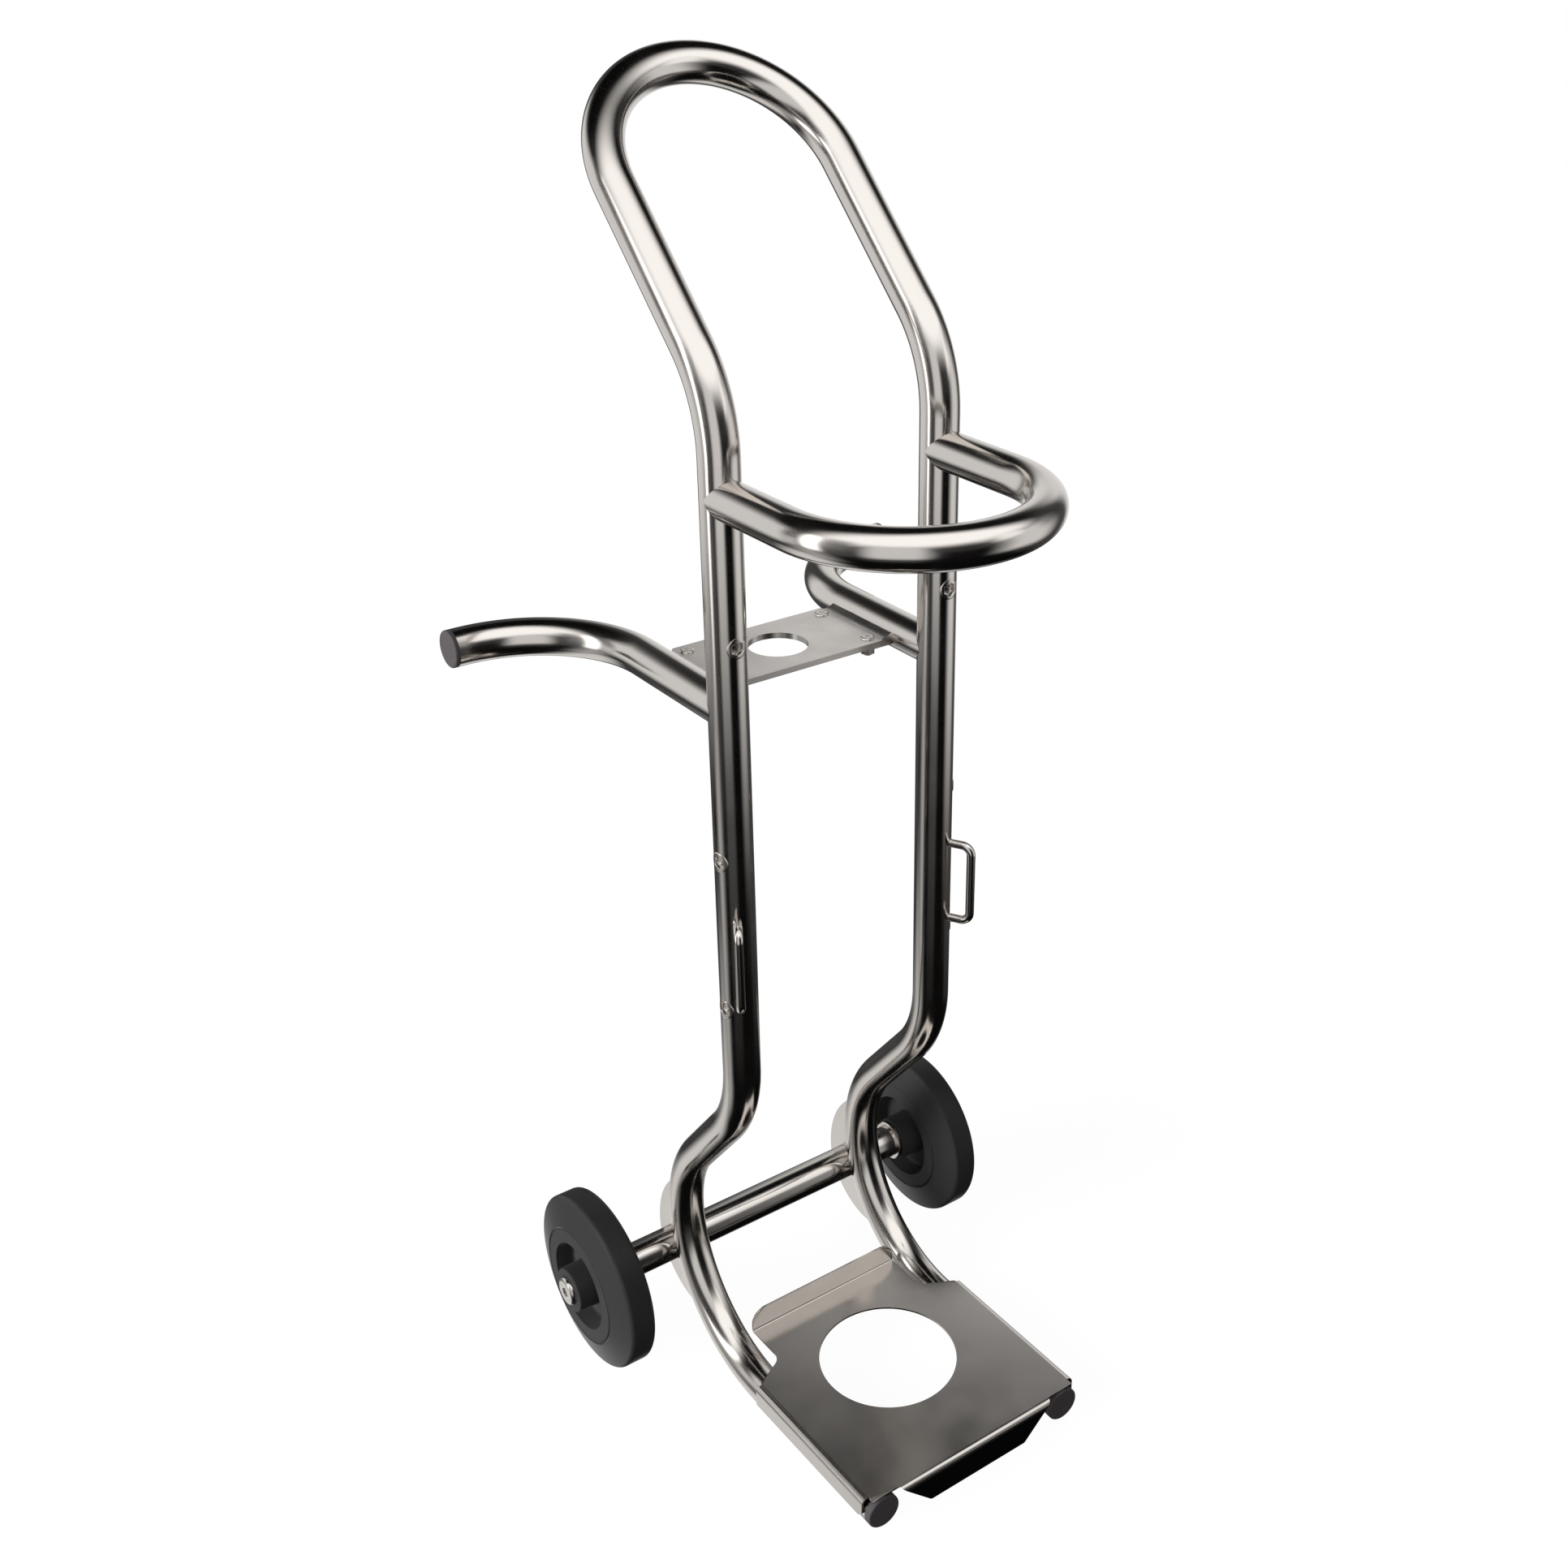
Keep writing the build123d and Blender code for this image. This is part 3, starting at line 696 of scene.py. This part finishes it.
# Cloth lit from behind: it has no shade of its own, only the light of its panels.
cloth, tree = new_material("tent cloth, lit from behind")
cloth.cycles.emission_sampling = "NONE"
mesh.materials.append(cloth)
place = add_node(tree, "ShaderNodeTexCoord")
heading = add_node(tree, "ShaderNodeVectorMath", {0: place.outputs["Object"]}, operation="NORMALIZE")
parts = add_node(tree, "ShaderNodeSeparateXYZ", {"Vector": heading.outputs[0]})
ahead = add_node(tree, "ShaderNodeMath", {0: parts.outputs["Y"], 1: -1.0}, operation="MULTIPLY")
azimuth = add_node(tree, "ShaderNodeMath", {0: parts.outputs["X"], 1: ahead.outputs[0]},
                   operation="ARCTAN2")
elevation = add_node(tree, "ShaderNodeMath", {0: parts.outputs["Z"]}, operation="ARCSINE")


def soft_light(tree, heading, turn, rise, core, rim, level):
    """Round light, its middle turned this many degrees from the front to the right, and raised. Its level
    holds to core degrees from the middle and fades to nothing at rim degrees."""
    turn, rise = radians(turn), radians(rise)
    middle = (sin(turn) * cos(rise), -cos(turn) * cos(rise), sin(rise))
    nearness = add_node(tree, "ShaderNodeVectorMath", {0: heading, 1: middle}, operation="DOT_PRODUCT")
    light = add_node(tree, "ShaderNodeMapRange", {"Value": nearness.outputs["Value"],
                     "From Min": cos(radians(rim)), "From Max": cos(radians(core)), "To Max": level},
                     interpolation_type="SMOOTHSTEP")
    return light.outputs["Result"]


def patch(left, right, low, high, softness, level):
    """Patch of the tent between these degrees, with soft edges and this level in its middle."""
    middle = radians((left + right) / 2)
    sideways = add_node(tree, "ShaderNodeMath", {0: azimuth.outputs[0], 1: middle + pi, 2: middle - pi},
                        operation="WRAP")
    borders = (
        (sideways, left, softness),
        (sideways, right, -softness),
        (elevation, low, low_softness),
        (elevation, high, -high_softness if high > 0 else -low_softness),
    )
    light = level
    for angle, border, half in borders:
        share = add_node(tree, "ShaderNodeMapRange", {"Value": angle.outputs[0],
                         "From Min": radians(border - half), "From Max": radians(border + half)},
                         interpolation_type="SMOOTHSTEP")
        product = add_node(tree, "ShaderNodeMath", {0: light, 1: share.outputs["Result"]},
                           operation="MULTIPLY")
        light = product.outputs[0]
    return light


# The ceiling light is large and round, and only its part above the panels is lit.
ceiling_low = 17
ceiling_full = 46
ceiling = soft_light(tree, heading.outputs[0], turn=-17, rise=8, core=70, rim=94, level=1.6)
above = add_node(tree, "ShaderNodeMapRange", {"Value": elevation.outputs[0],
                 "From Min": radians(ceiling_low), "From Max": radians(ceiling_full)},
                 interpolation_type="SMOOTHSTEP")
mirrored = add_node(tree, "ShaderNodeMath", {0: ceiling, 1: above.outputs["Result"]}, operation="MULTIPLY")
# Panels and flags: the left, right, low and high edge and the softness of the sides, in degrees, and how
# bright a panel is or how much light a flag takes away.
panels = {
    "strip light": (-109, -95, -17, 39, 4, 2.8),
    "back left": (-180, -123, -19, 31, 9, 0.94),
    "foot of back left": (-180, -112, -19, 9, 7, 0.7),
    "front left": (-63, -21, -20, 60, 9, 0.9),
    "right": (32, 78, -25, 32, 16, 0.94),
    "back right": (106, 154, -20, 33, 9, 0.9),
    "corner of the ceiling": (25, 54, 16, 49, 10, 1.4),
    "floor in front, left": (-66, -20, -34, -10, 9, 0.08),
    "floor on the left": (-122, -97, -52, -18, 18, 0.6),
    "floor behind, left": (-159, -116, -65, -36, 16, 0.9),
    "floor behind, right": (121, 227, -67, -41, 18, 0.94),
    "wall in front": (-20, 24, 8, 60, 6, 0.08),
    "wall on the left": (-108, -69, -24, 34, 16, 0.09),
    "wall on the right": (54, 208, -36, 40, 5, 0.07),
}
flags = {
    "between strip and ceiling": (-93, -72, 12, 42, 8, 0.65),
    "beside the strip": (-126, -116, 10, 36, 5, 0.6),
    "in front": (-18, 13, 8, 33, 8, 0.6),
    "on the right": (66, 95, 10, 36, 8, 0.5),
}
for panel in panels.values():
    mirrored = add_node(tree, "ShaderNodeMath", {0: mirrored.outputs[0], 1: patch(*panel)},
                        operation="MAXIMUM")
for flag in flags.values():
    passed = add_node(tree, "ShaderNodeMath", {0: 1.0, 1: patch(*flag)}, operation="SUBTRACT")
    mirrored = add_node(tree, "ShaderNodeMath", {0: mirrored.outputs[0], 1: passed.outputs[0]},
                        operation="MULTIPLY")
mirrored = add_node(tree, "ShaderNodeMath", {0: mirrored.outputs[0], 1: darkest}, operation="MAXIMUM")
glow = add_node(tree, "ShaderNodeEmission", {"Color": linear(white), "Strength": mirrored.outputs[0]})
add_node(tree, "ShaderNodeOutputMaterial", {"Surface": glow.outputs[0]})

# World: a white background. Matt pieces are lit by a key light from the left and a little behind, two weak
# lights from the front left and from behind on the right, and a faint fill from all round.
fill = 0.02
# Lights: turn, rise, core and rim in degrees, and level.
lights = {
    "key": (-100, 15, 0, 26, 10.4),
    "front left": (-28, 22, 0, 37, 1.3),
    "behind on the right": (125, 10, 0, 37, 1.8),
}
world = bpy.data.worlds.new("studio")
scene.world = world
world.use_nodes = True
tree = world.node_tree
tree.nodes.clear()
place = add_node(tree, "ShaderNodeTexCoord")
matt_light = fill
for light in lights.values():
    added = soft_light(tree, place.outputs["Generated"], *light)
    matt_light = add_node(tree, "ShaderNodeMath", {0: matt_light, 1: added}, operation="ADD").outputs[0]
path = add_node(tree, "ShaderNodeLightPath")
level = add_node(tree, "ShaderNodeMix", {"Factor": path.outputs["Is Camera Ray"], "A": matt_light,
                 "B": 1.0}, data_type="FLOAT")
glow = add_node(tree, "ShaderNodeBackground", {"Color": linear(white),
                "Strength": level.outputs["Result"]})
add_node(tree, "ShaderNodeOutputWorld", {"Surface": glow.outputs[0]})

# Camera: it stands where the photograph was taken from, to the left in front of the trolley and above it,
# and looks down. Its place and lens were worked out from the vanishing points of the frame.
camera_place = (-0.9422, -1.3459, 1.5373)
camera_down = 26.633
camera_right = 36.768
camera = bpy.data.objects.new("camera", bpy.data.cameras.new("camera"))
scene.collection.objects.link(camera)
camera.location = camera_place
camera.rotation_euler = (radians(90 - camera_down), 0, -radians(camera_right))
camera.data.lens = 43.265
camera.data.sensor_width = 36
camera.data.shift_x = -0.0563
camera.data.shift_y = -0.0108
scene.camera = camera

scene.view_settings.view_transform = "Standard"
